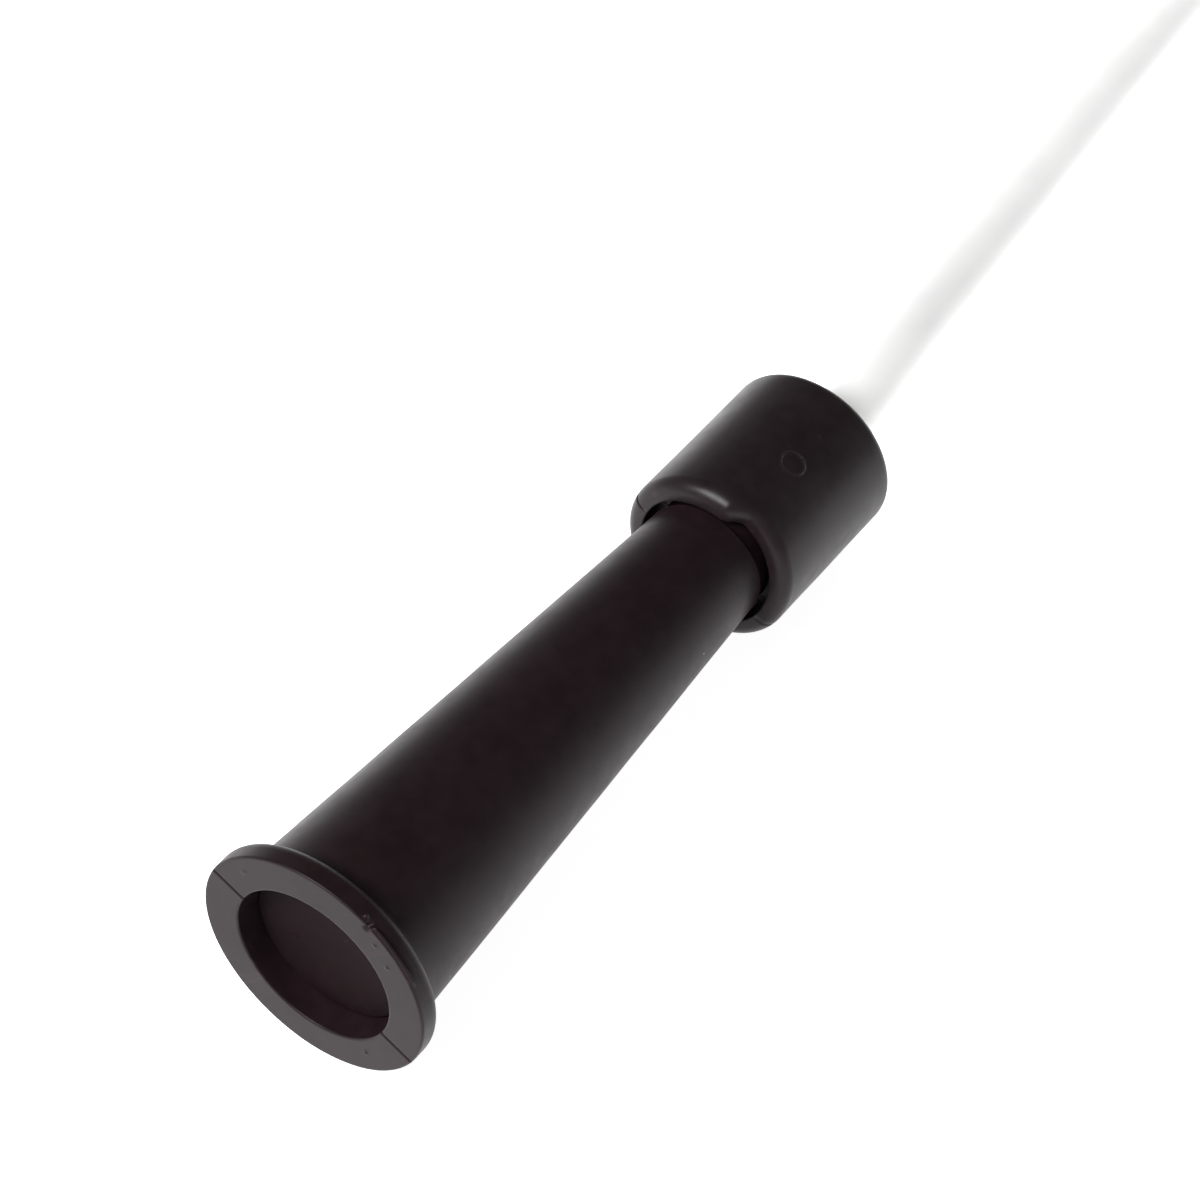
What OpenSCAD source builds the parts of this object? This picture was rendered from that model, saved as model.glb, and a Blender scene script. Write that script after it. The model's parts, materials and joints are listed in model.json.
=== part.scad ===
// Cable shutter release, in millimetres. A two-shell plastic grip with a finger flange holds a
// sprung thumb plunger. A collar behind the grip turns to lock the plunger down. The plunger
// pushes a wire through a sheathed cable, and a pin comes out of the camera coupling at its end.
//
// The handle's pieces are modelled upright, with the flange's front face at height 0 and the
// handle's axis on Z, and then laid down together on the surface that the handle rests on.
// The camera coupling's pieces are modelled upright on the cable's far end in the same way.

/* [Grip] */
// Length of the grip, from the flange's front face to the collar's mouth
grip_l = 53; // [49:0.5:66]
// Diameter of the finger flange
flange_d = 21; // [19.6:0.2:26]
// Thickness of the finger flange
flange_t = 2.3; // [1.6:0.1:3]
// Rounding of the flange's edges
flange_round = 0.35; // [0.1:0.05:0.6]
// Diameter of the grip where it leaves the flange
grip_base_d = 17.5; // [17:0.1:21]
// Diameter of the grip's narrow end, at the collar's mouth
grip_tip_d = 11.4; // [11.2:0.1:12.6]
// Turn of the parting plane between the shells, from level, in degrees
shell_roll = 28; // [0:1:60]

/* [Thumb button] */
// Bore in the flange that the button slides in
button_bore_d = 14.4; // [13:0.1:14.8]
// Depth of the button's face below the flange at rest
button_recess = 2.3; // [1:0.1:3]
// Thickness of the button's disc
button_t = 2.7; // [2:0.1:3.4]
// Depth of the hollow in the button's face
button_dish = 0.35; // [0.1:0.05:0.6]
// Diameter of the hub under the button
button_hub_d = 4.6; // [4.2:0.1:5.6]
// Length of the hub under the button
button_hub_l = 4; // [3:0.1:5]
// Travel of the plunger
stroke = 8; // [5:0.1:9.6]

/* [Plunger] */
// Diameter of the plunger rod
rod_d = 3; // [2.5:0.1:3.4]
// Distance from the flange's face to the guide bush's flange
bush_at = 30; // [25:0.5:31]
// Thickness of the guide bush's flange
bush_flange_t = 1.5; // [1:0.1:2]
// Diameter of the guide bush's flange
bush_flange_d = 11.2; // [10.6:0.1:11.6]
// Diameter of the guide bush's body
bush_d = 6.5; // [5.6:0.1:7]
// Length of the guide bush, with its flange
bush_l = 6; // [4:0.1:7]
// Thickness of the washer under the spring
washer_t = 0.7; // [0.4:0.1:1]
// Diameter of the washer under the spring
washer_d = 10.4; // [9.6:0.1:10.6]
// Diameter of the retaining clip on the rod
clip_d = 5.4; // [4.8:0.1:5.8]
// Thickness of the retaining clip on the rod
clip_t = 0.6; // [0.4:0.1:0.8]
// Length of the crimp that joins the rod and the wire
crimp_l = 4.8; // [4:0.1:6]
// Length of the rod's spigot inside the crimp
spigot_l = 3; // [2:0.1:3.4]
// Diameter of the rod's spigot
spigot_d = 1.8; // [1.4:0.1:2]

/* [Return spring] */
// Mean diameter of the return spring
spring_d = 7.8; // [7.4:0.1:8.4]
// Diameter of the spring's wire
spring_wire_d = 0.7; // [0.5:0.05:0.8]
// Number of turns in the spring
spring_turns = 9; // [7:1:11]
// Width of the chamber around the spring
chamber_d = 12; // [11:0.1:12.6]

/* [Lock collar] */
// Diameter of the collar
collar_d = 16; // [15:0.1:19.2]
// Length of the collar
collar_l = 17.4; // [16.6:0.1:21]
// Diameter of the collar's mouth, around the grip's narrow end
mouth_d = 13.4; // [13:0.1:13.6]
// Depth of the collar's mouth
mouth_depth = 2; // [1.6:0.1:2.2]
// Rounding of the mouth's outer edge
mouth_round = 1; // [0.4:0.05:1.2]
// Set-back of the stepped half of the mouth's rim
rim_step = 1.1; // [0.4:0.1:1.4]
// Thickness of the collar's end wall
collar_wall_t = 1.6; // [1:0.1:2]
// Rounding of the collar's far edge
collar_round = 0.5; // [0.2:0.05:0.8]
// Turn of the collar from free to locked, in degrees
lock_turn = 60; // [50:1:62]
// Diameter of the grip's neck inside the collar
neck_d = 10.7; // [10.5:0.1:10.9]
// Height of the snap lip at the neck's end
snap_h = 0.4; // [0.2:0.05:0.5]
// Width of the snap lip at the neck's end
snap_w = 1.4; // [0.8:0.1:1.6]

/* [Lock pin] */
// Distance from the collar's mouth to the lock pin
lock_pin_back = 4; // [3.8:0.1:4.6]
// Diameter of the lock pin
lock_pin_d = 1.8; // [1.4:0.1:2]
// Inward travel of the lock pin
lock_pin_travel = 0.9; // [0.8:0.05:0.95]
// Depth of the cam pocket in the collar, beyond its bore
cam_depth = 0.92; // [0.86:0.02:1]

/* [Cable] */
// Diameter of the cable's sheath
cord_d = 5.8; // [4.8:0.1:6]
// Diameter of the wound conduit inside the sheath
conduit_d = 3.2; // [2.6:0.1:3.6]
// Bore of the wound conduit
conduit_bore_d = 1.3; // [1.2:0.05:1.5]
// Diameter of the release wire
wire_d = 1; // [0.8:0.05:1.1]
// Diameter of the ferrule on the cable, inside the grip's neck
ferrule_d = 7.8; // [7.4:0.1:8]
// Diameter of that ferrule's flange
ferrule_flange_d = 9; // [8.6:0.1:9.2]
// Thickness of that ferrule's flange
ferrule_flange_t = 1; // [0.7:0.1:1.2]
// Straight cable beyond the collar
straight_l = 6; // [4:0.1:8]
// Radius of the stored coil, to the middle of the cable
coil_r = 26; // [26:0.5:27]
// Number of turns stacked in the stored coil
coil_turns = 2; // [1:1:3]
// Width of the tie around the coil
tie_w = 3; // [2:0.1:5]
// Thickness of the tie around the coil
tie_t = 0.5; // [0.3:0.05:0.8]

/* [Camera coupling] */
// Diameter of the knurled sleeve
sleeve_d = 8.6; // [8.2:0.1:9.2]
// Length of the knurled sleeve
sleeve_l = 9.4; // [9:0.1:11]
// Number of flutes around the knurled sleeve
sleeve_flutes = 24; // [16:1:30]
// Diameter of the spindle that the sleeve turns on
spindle_d = 4.1; // [3.9:0.1:4.4]
// Diameter of the ferrule at the cable's far end
tip_ferrule_d = 7; // [6.8:0.1:7.6]
// Length of that ferrule, up to its shoulder
tip_ferrule_l = 9; // [8:0.1:11]
// Length of the tapered camera thread
thread_l = 5.5; // [4.5:0.1:6]
// Diameter of the camera thread at the sleeve
thread_base_d = 3.9; // [3.7:0.05:4.1]
// Diameter of the camera thread at its tip
thread_tip_d = 3.1; // [2.9:0.05:3.3]
// Diameter of the release pin
pin_d = 1.5; // [1.3:0.05:1.6]
// Diameter of the release pin's nose
pin_nose_d = 1.1; // [0.9:0.05:1.15]
// Length of the release pin's nose beyond the thread at rest
pin_nose_l = 1; // [0.6:0.1:2]

/* [Clearances] */
// Radial clearance of a piece that slides or turns
running = 0.05; // [0.02:0.01:0.08]
// Radial clearance of the collar on the neck
collar_running = 0.08; // [0.04:0.01:0.1]
// Radial clearance of a piece that is fixed in its seat
fixed = 0.02; // [0.01:0.01:0.04]
// Gap between a moving piece and the stop it travels to
stop_gap = 0.2; // [0.1:0.05:0.4]
// Gap between the spring's ends and their seats
spring_gap = 0.1; // [0.05:0.05:0.3]
// Gap between the cable and the collar's end hole
cord_gap = 0.2; // [0.1:0.05:0.4]

/* [Hidden] */
$fn = 64;

// A little more than a cut needs, so that no skin is left on a face
cut = 1;

// Radii
flange_r = flange_d / 2;
collar_r = collar_d / 2;
neck_r = neck_d / 2;
rod_r = rod_d / 2;
cord_r = cord_d / 2;
wire_r = wire_d / 2;
pin_r = pin_d / 2;
lock_pin_r = lock_pin_d / 2;
collar_bore_r = neck_r + collar_running;
mouth_r = mouth_d / 2;

// Heights along the handle, from the flange's front face
button_back = button_recess + button_t;
ledge_at = button_back + stroke + stop_gap;
washer_at = bush_at - washer_t;
bush_back = bush_at + bush_l;
clip_at = bush_back + stop_gap / 2;
clip_room_end = clip_at + clip_t + stroke + stop_gap;
handle_l = grip_l + collar_l;
mouth_floor = grip_l + mouth_depth;
lock_at = grip_l + lock_pin_back;
crimp_end = lock_at - lock_pin_r - stop_gap;
rod_end = crimp_end - crimp_l;
lock_groove_at = lock_at - stroke;
ferrule_at = crimp_end + stroke + 2 * stop_gap;
collar_floor = handle_l - collar_wall_t;
neck_end = collar_floor - stop_gap;
cable_start = handle_l + straight_l;

// The chamber in front of the washer steps in to hold it and the bush's flange
rib_t = 0.8;
rib_at = washer_at - rib_t;
neck_bore_r = rod_r + 4 * running;
neck_rib_t = 1.6;
neck_block_at = grip_l - 0.6;
clip_room_r = bush_d / 2 + running;
core_r = 4;

// The grip's outside is one cone, and this is its radius at a height
function grip_r(height) = let (share = (height - flange_t) / (grip_l - flange_t))
    grip_base_d / 2 + share * (grip_tip_d - grip_base_d) / 2;

// Laying down: a plane touches the flange's back edge and the collar's far edge
flange_edge = [flange_t - flange_round, flange_r - flange_round];
collar_edge = [handle_l - collar_round, collar_r - collar_round];
edge_gap = norm(collar_edge - flange_edge);
tilt = atan2(flange_edge[1] - collar_edge[1], collar_edge[0] - flange_edge[0])
    + asin((flange_round - collar_round) / edge_gap);
lift = flange_edge[1] * cos(tilt) + flange_edge[0] * sin(tilt) + flange_round;
front_x = -flange_edge[1] * sin(tilt) + flange_round * cos(tilt) - flange_round;
back_x = collar_edge[1] * sin(tilt) + collar_edge[0] * cos(tilt) + collar_round;
shift = -(front_x + back_x) / 2;
axis_dir = [cos(tilt), 0, -sin(tilt)];

// Lock pin, from its free place: it spans from beside the rod to the cam pocket's floor
lock_pin_in = rod_r + 3 * running;
lock_pin_out = collar_bore_r + cam_depth - 2 * running;
lock_pin_chamfer = 0.3;
lock_groove_r = lock_pin_in - lock_pin_travel - 2 * running;
lock_groove_w = lock_pin_d + 0.5;
// The cam pocket is a round bore off the collar's axis, so it fades into the collar's own bore
cam_r = collar_bore_r - 0.43;
cam_offset = collar_bore_r + cam_depth - cam_r;
cam_w = lock_pin_d + 0.4;

// Turn stops: one tooth in the collar's mouth runs between two lugs on the lower shell's neck
lug_angle = 12;
tooth_angle = 20;
stop_play = 1;
lug_w = mouth_depth - 0.9;
lug_at = mouth_floor - lug_w - stop_gap / 2;

// Locating pins on the lower shell, and their sockets in the upper shell
dowel_r = 0.7;
dowel_h = 1.2;
dowel_places = [
    [(clip_room_r + grip_r(bush_back + 2)) / 2, bush_back + 2],
    [(neck_bore_r + neck_r) / 2, lock_at + lock_pin_r + 2.4]
];

// Camera coupling: heights from the end of the free cable
tip_ferrule_at = 4;
tip_shoulder = tip_ferrule_at + tip_ferrule_l;
tip_sheath_l = tip_shoulder - 3;
sleeve_at = tip_shoulder + 2 * stop_gap;
sleeve_end = sleeve_at + sleeve_l;
sleeve_shoulder = sleeve_at + sleeve_l * 0.46;
nozzle_base_t = 1.4;
nozzle_base_at = sleeve_end - nozzle_base_t;
spindle_end = nozzle_base_at - 3 * stop_gap;
spindle_clip_t = 0.6;
spindle_clip_at = spindle_end - 0.2 - spindle_clip_t;
sleeve_room_r = 3.1;
thread_end = sleeve_end + thread_l;
pin_crimp_at = tip_sheath_l + 2 * stop_gap;
pin_crimp_l = 3;
pin_crimp_r = pin_r + 0.4;
tip_bore_r = pin_crimp_r + 2 * running;
pin_start = pin_crimp_at + pin_crimp_l * 0.6;
tip_wire_at = 2;
wire_past_ferrule = 1.5;

// Cable route: the cable leaves the handle straight, comes down to the surface, and runs into
// the coil. Its tail leaves the coil's top turn, crosses over the lead, and comes down to the
// camera coupling beside the coil.
lead_route = [
    [48, 0.8, 7.2], [54, 1.6, 6.3], [61, 2.5, 5.1], [69, 3.5, 3.9], [77, 4.3, 3.2],
    [86, 5.1, 2.9], [97, 5.8, 2.9], [108, 6.3, 2.9], [118, 6.7, 2.9], [128, 6.9, 2.9], [137, 7, 2.9]
];
coil_centre = [137, 33, 0];
tail_route = [
    [111.8, 26, 9], [112.5, 19.2, 9.5], [114.9, 13.2, 9.7], [118.6, 7.9, 9.7], [123.6, 3.8, 9.5],
    [129.7, 1.2, 8.3], [136.3, 0.2, 6.5], [142.8, 0.4, 4.7], [149, 1.5, 3.4], [154.9, 3.5, 2.9],
    [160.3, 6.6, 2.9], [164.8, 10.8, 3.2], [168.2, 15.8, 3.7], [170.3, 21.3, 4.2], [171, 27, 4.4]
];
tip_heading = 90;
cord_sides = 10;
tie_turn = 140;

// Points around a circle of radius r at point p, square to direction d
function ring(p, d, r, sides) = let (
    along = d / norm(d),
    side = cross(along, [0, 0, 1]) / norm(cross(along, [0, 0, 1])),
    up = cross(side, along)
) [for (i = [0:sides - 1]) p + r * (cos(360 * i / sides) * side + sin(360 * i / sides) * up)];

// A closed tube along a path, with its first and last rings square to the given directions
module tube(path, first_dir, last_dir, r, sides) {
    last = len(path) - 1;
    rings = [for (i = [0:last])
        ring(path[i], i == 0 ? first_dir : i == last ? last_dir : path[i + 1] - path[i - 1], r, sides)];
    points = [for (one = rings) each one];
    walls = [for (i = [0:last - 1], j = [0:sides - 1]) let (k = (j + 1) % sides)
        each [[i * sides + j, i * sides + k, (i + 1) * sides + k],
              [i * sides + j, (i + 1) * sides + k, (i + 1) * sides + j]]];
    first_cap = [for (j = [sides - 1:-1:0]) j];
    last_cap = [for (j = [0:sides - 1]) last * sides + j];
    polyhedron(points, concat(walls, [first_cap, last_cap]), convexity = 6);
}

// Lays the upright handle on the surface, with its parting plane turned about its axis
module lay_down() {
    translate([shift, 0, lift]) rotate([0, 90 + tilt, 0]) rotate([0, 0, shell_roll]) children();
}

// Puts the upright camera coupling on the end of the cable's tail
module on_tail() {
    translate(tail_route[len(tail_route) - 1]) rotate([0, 90, tip_heading]) children();
}

// A stretch of plain shaft or bore in a half profile, from the axis out to r
module stretch(r, from, to) {
    translate([0, from]) square([r, to - from]);
}

// A plain tube standing on a height
module sleeve(r, bore_r, from, to) {
    translate([0, 0, from]) difference() {
        cylinder(h = to - from, r = r);
        translate([0, 0, -cut]) cylinder(h = to - from + 2 * cut, r = bore_r);
    }
}

// A slotted retaining ring that clips into a groove
module open_ring(r, bore_r, at, t) {
    difference() {
        sleeve(r, bore_r, at, at + t);
        translate([0, -bore_r * 0.8, at - cut]) cube([r + cut, bore_r * 1.6, t + 2 * cut]);
    }
}

// Half profile of the grip's outside: flange with rounded edges, cone, neck and snap lip
module grip_outline() {
    inner_r = flange_r - flange_round;
    stretch(inner_r, 0, flange_t);
    stretch(flange_r, flange_round, flange_t - flange_round);
    for (height = [flange_round, flange_t - flange_round])
        translate([inner_r, height]) intersection() {
            circle(flange_round);
            translate([-flange_round, -flange_round]) square(2 * flange_round);
        }
    polygon([[0, flange_t], [grip_base_d / 2, flange_t], [grip_tip_d / 2, grip_l], [0, grip_l]]);
    stretch(grip_tip_d / 2, grip_l - fixed, grip_l + stop_gap);
    stretch(neck_r, grip_l, neck_end);
    stretch(neck_r + snap_h, neck_end - snap_w, neck_end);
}

// Half profile of the hollow inside the two shells
module grip_hollow() {
    stretch(button_bore_d / 2, -cut, ledge_at);
    stretch(chamber_d / 2, ledge_at - fixed, rib_at);
    stretch(washer_d / 2 + running, rib_at - fixed, bush_at);
    stretch(bush_flange_d / 2 + running, bush_at - fixed, bush_at + bush_flange_t + fixed);
    stretch(clip_room_r, bush_at + bush_flange_t, clip_room_end);
    stretch(neck_bore_r, clip_room_end - fixed, ferrule_at + fixed);
    stretch(core_r, clip_room_end + neck_rib_t, max(neck_block_at, clip_room_end + neck_rib_t + fixed));
    stretch(ferrule_flange_d / 2 + fixed, ferrule_at - fixed, ferrule_at + ferrule_flange_t + fixed);
    stretch(ferrule_d / 2 + fixed, ferrule_at + ferrule_flange_t, neck_end + cut);
}

// One half of the grip, on the side of the parting plane that the turn gives
module half_grip(turn) {
    rotate([0, 0, turn]) rotate_extrude(angle = 180) difference() {
        grip_outline();
        grip_hollow();
    }
}

// Cylinders across the parting plane, for the locating pins and their sockets
module dowels(r, from, h) {
    for (place = dowel_places, side = [-1, 1])
        translate([from, side * place[0], place[1]]) rotate([0, -90, 0]) cylinder(h = h, r = r);
}

// A stop lug on the neck, inside the collar's mouth
module lug(turn) {
    rotate([0, 0, turn]) rotate_extrude(angle = lug_angle)
        translate([neck_r - 0.3, lug_at]) square([mouth_r - neck_r + 0.3 - 3 * running, lug_w]);
}

module upper_shell() {
    color("#2b2527") lay_down() difference() {
        half_grip(90);
        dowels(dowel_r + running, cut, dowel_h + cut + stop_gap);
        translate([0, 0, lock_at]) rotate([0, -90, 0]) cylinder(h = neck_r + cut, r = lock_pin_r + running);
    }
}

module lower_shell() {
    first_lug = -(tooth_angle + lock_turn) / 2 - stop_play - lug_angle;
    second_lug = (tooth_angle + lock_turn) / 2 + stop_play;
    color("#2b2527") lay_down() {
        half_grip(-90);
        dowels(dowel_r, dowel_r, dowel_h + dowel_r);
        lug(first_lug);
        lug(second_lug);
    }
}

module thumb_button() {
    r = button_bore_d / 2 - 2 * running;
    dish_r = r - 1;
    ball_r = (dish_r * dish_r + button_dish * button_dish) / (2 * button_dish);
    color("#3a3335") lay_down() rotate_extrude() difference() {
        union() {
            stretch(r, button_recess, button_back);
            stretch(button_hub_d / 2, button_back - fixed, button_back + button_hub_l);
        }
        stretch(rod_r + fixed, button_recess + button_t / 2, button_back + button_hub_l + cut);
        intersection() {
            translate([0, button_recess + button_dish - ball_r]) circle(ball_r, $fn = 200);
            stretch(r, button_recess - cut, button_back);
        }
    }
}

module plunger_rod() {
    color("silver") lay_down() rotate_extrude() difference() {
        union() {
            stretch(rod_r, button_recess + button_t / 2 + fixed, rod_end);
            stretch(spigot_d / 2, rod_end - fixed, rod_end + spigot_l);
        }
        translate([rod_r * 0.8, clip_at - fixed]) square([rod_r, clip_t + 2 * fixed]);
        translate([lock_groove_r, lock_groove_at - lock_groove_w / 2]) square([rod_r, lock_groove_w]);
    }
}

module rod_clip() {
    color("dimgray") lay_down() open_ring(clip_d / 2, rod_r * 0.8 + fixed, clip_at, clip_t);
}

module wire_crimp() {
    color("goldenrod") lay_down() difference() {
        translate([0, 0, rod_end]) cylinder(h = crimp_l, r = rod_r);
        translate([0, 0, rod_end - cut]) cylinder(h = spigot_l + cut + fixed, r = spigot_d / 2 + fixed);
        translate([0, 0, rod_end]) cylinder(h = crimp_l + cut, r = wire_r + fixed);
    }
}

module handle_wire() {
    from = rod_end + spigot_l + 2 * fixed;
    color("lightsteelblue") lay_down()
        translate([0, 0, from]) cylinder(h = ferrule_at + wire_past_ferrule - from, r = wire_r);
}

module guide_bush() {
    color("ivory") lay_down() difference() {
        union() {
            translate([0, 0, bush_at]) cylinder(h = bush_flange_t, r = bush_flange_d / 2);
            translate([0, 0, bush_at]) cylinder(h = bush_l, r = bush_d / 2);
        }
        translate([0, 0, bush_at - cut]) cylinder(h = bush_l + 2 * cut, r = rod_r + running);
    }
}

module spring_washer() {
    color("silver") lay_down() sleeve(washer_d / 2, rod_r + 4 * running, washer_at, bush_at);
}

// Compression spring with one closed turn at each end
module return_spring() {
    steps = 16;
    total = spring_turns * steps;
    from = button_back + spring_gap + spring_wire_d / 2;
    to = washer_at - spring_gap - spring_wire_d / 2;
    closed = spring_wire_d * 1.06;
    open_pitch = (to - from - 2 * closed) / (spring_turns - 2);
    function height(turns) = turns < 1 ? from + turns * closed
        : turns > spring_turns - 1 ? to - (spring_turns - turns) * closed
        : from + closed + (turns - 1) * open_pitch;
    path = [for (i = [0:total]) let (turn = 360 * i / steps)
        [spring_d / 2 * cos(turn), spring_d / 2 * sin(turn), height(i / steps)]];
    color("silver") lay_down() tube(path, [0, 1, 0], [0, 1, 0], spring_wire_d / 2, 8);
}

module lock_collar() {
    outer_r = collar_r - mouth_round;
    far_r = collar_r - collar_round;
    color("#2b2527") lay_down() {
        difference() {
            rotate_extrude() difference() {
                union() {
                    stretch(outer_r, grip_l, handle_l);
                    stretch(collar_r, grip_l + mouth_round, handle_l - collar_round);
                    translate([outer_r, grip_l + mouth_round]) intersection() {
                        circle(mouth_round);
                        translate([-mouth_round, -mouth_round]) square(2 * mouth_round);
                    }
                    stretch(far_r, handle_l - 2 * collar_round, handle_l);
                    translate([far_r, handle_l - collar_round]) intersection() {
                        circle(collar_round);
                        translate([-collar_round, -collar_round]) square(2 * collar_round);
                    }
                }
                stretch(mouth_r, grip_l - cut, mouth_floor);
                stretch(collar_bore_r, grip_l, collar_floor);
                stretch(neck_r + snap_h + stop_gap, neck_end - snap_w - stop_gap, collar_floor);
                stretch(cord_r + cord_gap, grip_l, handle_l + cut);
            }
            translate([-cam_offset, 0, lock_at - cam_w / 2]) cylinder(h = cam_w, r = cam_r);
            rim_ramp();
        }
        rotate([0, 0, -(tooth_angle + lock_turn) / 2]) rotate_extrude(angle = tooth_angle)
            translate([neck_r + 3 * running, lug_at]) square([mouth_r - neck_r + 0.3 - 3 * running,
                mouth_floor - lug_at + fixed]);
    }
}

// Cuts one quarter of the mouth's rim back, by the step at the top and by nothing at the side
module rim_ramp() {
    reach = collar_r + cut;
    translate([0, 0, grip_l]) rotate([90, 0, 0]) linear_extrude(reach)
        polygon([[0, 0], [0, -cut], [-reach, -cut], [-reach, rim_step * reach / collar_r]]);
}

module lock_pin() {
    body_from = lock_pin_in + lock_pin_chamfer;
    body_to = lock_pin_out - lock_pin_chamfer;
    end_r = lock_pin_r - lock_pin_chamfer;
    color("silver") lay_down() translate([0, 0, lock_at]) rotate([0, -90, 0]) rotate_extrude()
        polygon([[0, lock_pin_in], [end_r, lock_pin_in], [lock_pin_r, body_from],
            [lock_pin_r, body_to], [end_r, lock_pin_out], [0, lock_pin_out]]);
}

module cable_ferrule() {
    wall = ferrule_at + 0.7;
    color("darkgoldenrod") lay_down() difference() {
        union() {
            translate([0, 0, ferrule_at]) cylinder(h = ferrule_flange_t, r = ferrule_flange_d / 2);
            translate([0, 0, ferrule_at]) cylinder(h = neck_end - ferrule_at, r = ferrule_d / 2);
        }
        translate([0, 0, wall]) cylinder(h = neck_end, r = cord_r + fixed);
        translate([0, 0, ferrule_at - cut]) cylinder(h = neck_end, r = conduit_bore_d / 2);
    }
}

module handle_sheath_end() {
    color("whitesmoke") lay_down() sleeve(cord_r, conduit_d / 2 + fixed, ferrule_at + 0.7, cable_start);
}

module handle_conduit() {
    color("slategray") lay_down() sleeve(conduit_d / 2, conduit_bore_d / 2, ferrule_at + 0.7, cable_start);
}

// The lead starts on the handle's axis, where the straight cable ends
module cord_lead() {
    start = [shift, 0, lift] + cable_start * axis_dir;
    color("whitesmoke") tube(concat([start], lead_route), axis_dir, [1, 0, 0], cord_r, cord_sides);
}

// Outer shape of the coil's stacked turns
module cord_coil() {
    color("whitesmoke") translate(coil_centre) rotate_extrude() {
        for (level = [0:coil_turns - 1]) translate([coil_r, cord_r + level * cord_d]) circle(cord_r);
        translate([coil_r - cord_r, cord_r]) square([cord_d, (coil_turns - 1) * cord_d]);
    }
}

module cord_tail() {
    heading = [cos(tip_heading), sin(tip_heading), 0];
    color("whitesmoke") tube(tail_route, tail_route[1] - tail_route[0], heading, cord_r, cord_sides);
}

// Section of the tie: a band of radius r around the coil's turns
module tie_section(r) {
    low = cord_r + tie_t;
    high = (coil_turns - 0.5) * cord_d;
    for (height = [low, high]) translate([coil_r, height]) circle(r);
    translate([coil_r - r, low]) square([2 * r, high - low]);
}

// A twist tie, with its twisted ends standing out over the coil
module coil_tie() {
    twist_r = 0.9;
    twist_l = 9;
    color("dimgray") translate(coil_centre) rotate([0, 0, tie_turn]) {
        rotate([90, 0, 0]) translate([0, 0, -tie_w / 2]) linear_extrude(tie_w) difference() {
            tie_section(cord_r + tie_t);
            tie_section(cord_r);
        }
        translate([coil_r, 0, coil_turns * cord_d]) rotate([0, 68, 0]) cylinder(h = twist_l, r = twist_r);
    }
}

module tip_sheath_end() {
    color("whitesmoke") on_tail() sleeve(cord_r, conduit_d / 2 + fixed, 0, tip_sheath_l);
}

module tip_conduit() {
    color("slategray") on_tail() sleeve(conduit_d / 2, conduit_bore_d / 2, 0, tip_sheath_l);
}

// Crimped ferrule whose far end is the spindle that the knurled sleeve turns on
module tip_ferrule() {
    groove_w = spindle_clip_t + 2 * fixed;
    color("silver") on_tail() rotate_extrude() difference() {
        union() {
            stretch(tip_ferrule_d / 2, tip_ferrule_at, tip_shoulder);
            stretch(spindle_d / 2, tip_ferrule_at, spindle_end);
        }
        stretch(cord_r + fixed, 0, tip_sheath_l);
        stretch(tip_bore_r, 0, spindle_end + cut);
        translate([spindle_d * 0.42, spindle_clip_at - fixed]) square([spindle_d, groove_w]);
    }
}

module spindle_clip() {
    color("dimgray") on_tail() open_ring(sleeve_room_r - 4 * running, spindle_d * 0.42 + fixed,
        spindle_clip_at, spindle_clip_t);
}

module coupling_sleeve() {
    flute_r = 0.3;
    edge = 0.5;
    color("silver") on_tail() difference() {
        rotate_extrude() difference() {
            polygon([[0, sleeve_at], [sleeve_d / 2 - edge, sleeve_at], [sleeve_d / 2, sleeve_at + edge],
                [sleeve_d / 2, sleeve_end - edge], [sleeve_d / 2 - edge, sleeve_end], [0, sleeve_end]]);
            stretch(spindle_d / 2 + running, sleeve_at - cut, sleeve_end);
            stretch(sleeve_room_r, sleeve_shoulder, sleeve_end + cut);
        }
        for (i = [0:sleeve_flutes - 1]) rotate([0, 0, 360 * i / sleeve_flutes])
            translate([sleeve_d / 2, 0, sleeve_at - cut])
                cylinder(h = sleeve_l + 2 * cut, r = flute_r, $fn = 24);
    }
}

// Pressed into the sleeve: a base disc and the tapered camera thread
module thread_nozzle() {
    color("silver") on_tail() difference() {
        union() {
            translate([0, 0, nozzle_base_at]) cylinder(h = nozzle_base_t, r = sleeve_room_r - fixed);
            translate([0, 0, sleeve_end])
                cylinder(h = thread_l, r1 = thread_base_d / 2, r2 = thread_tip_d / 2);
        }
        translate([0, 0, nozzle_base_at - cut]) cylinder(h = thread_end, r = pin_r + running);
    }
}

module release_pin() {
    color("silver") on_tail() {
        translate([0, 0, pin_start]) cylinder(h = thread_end - pin_start, r = pin_r);
        translate([0, 0, thread_end]) cylinder(h = pin_nose_l, r = pin_nose_d / 2);
    }
}

module pin_crimp() {
    color("goldenrod") on_tail() difference() {
        sleeve(pin_crimp_r, wire_r + fixed, pin_crimp_at, pin_crimp_at + pin_crimp_l);
        translate([0, 0, pin_start - fixed]) cylinder(h = pin_crimp_l, r = pin_r + fixed);
    }
}

module tip_wire() {
    color("lightsteelblue") on_tail()
        translate([0, 0, tip_wire_at]) cylinder(h = pin_start - fixed * 2 - tip_wire_at, r = wire_r);
}

upper_shell();
lower_shell();
thumb_button();
plunger_rod();
rod_clip();
wire_crimp();
handle_wire();
guide_bush();
spring_washer();
return_spring();
lock_collar();
lock_pin();
cable_ferrule();
handle_sheath_end();
handle_conduit();
cord_lead();
cord_coil();
cord_tail();
coil_tie();
tip_sheath_end();
tip_conduit();
tip_ferrule();
spindle_clip();
coupling_sleeve();
thread_nozzle();
release_pin();
pin_crimp();
tip_wire();
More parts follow.
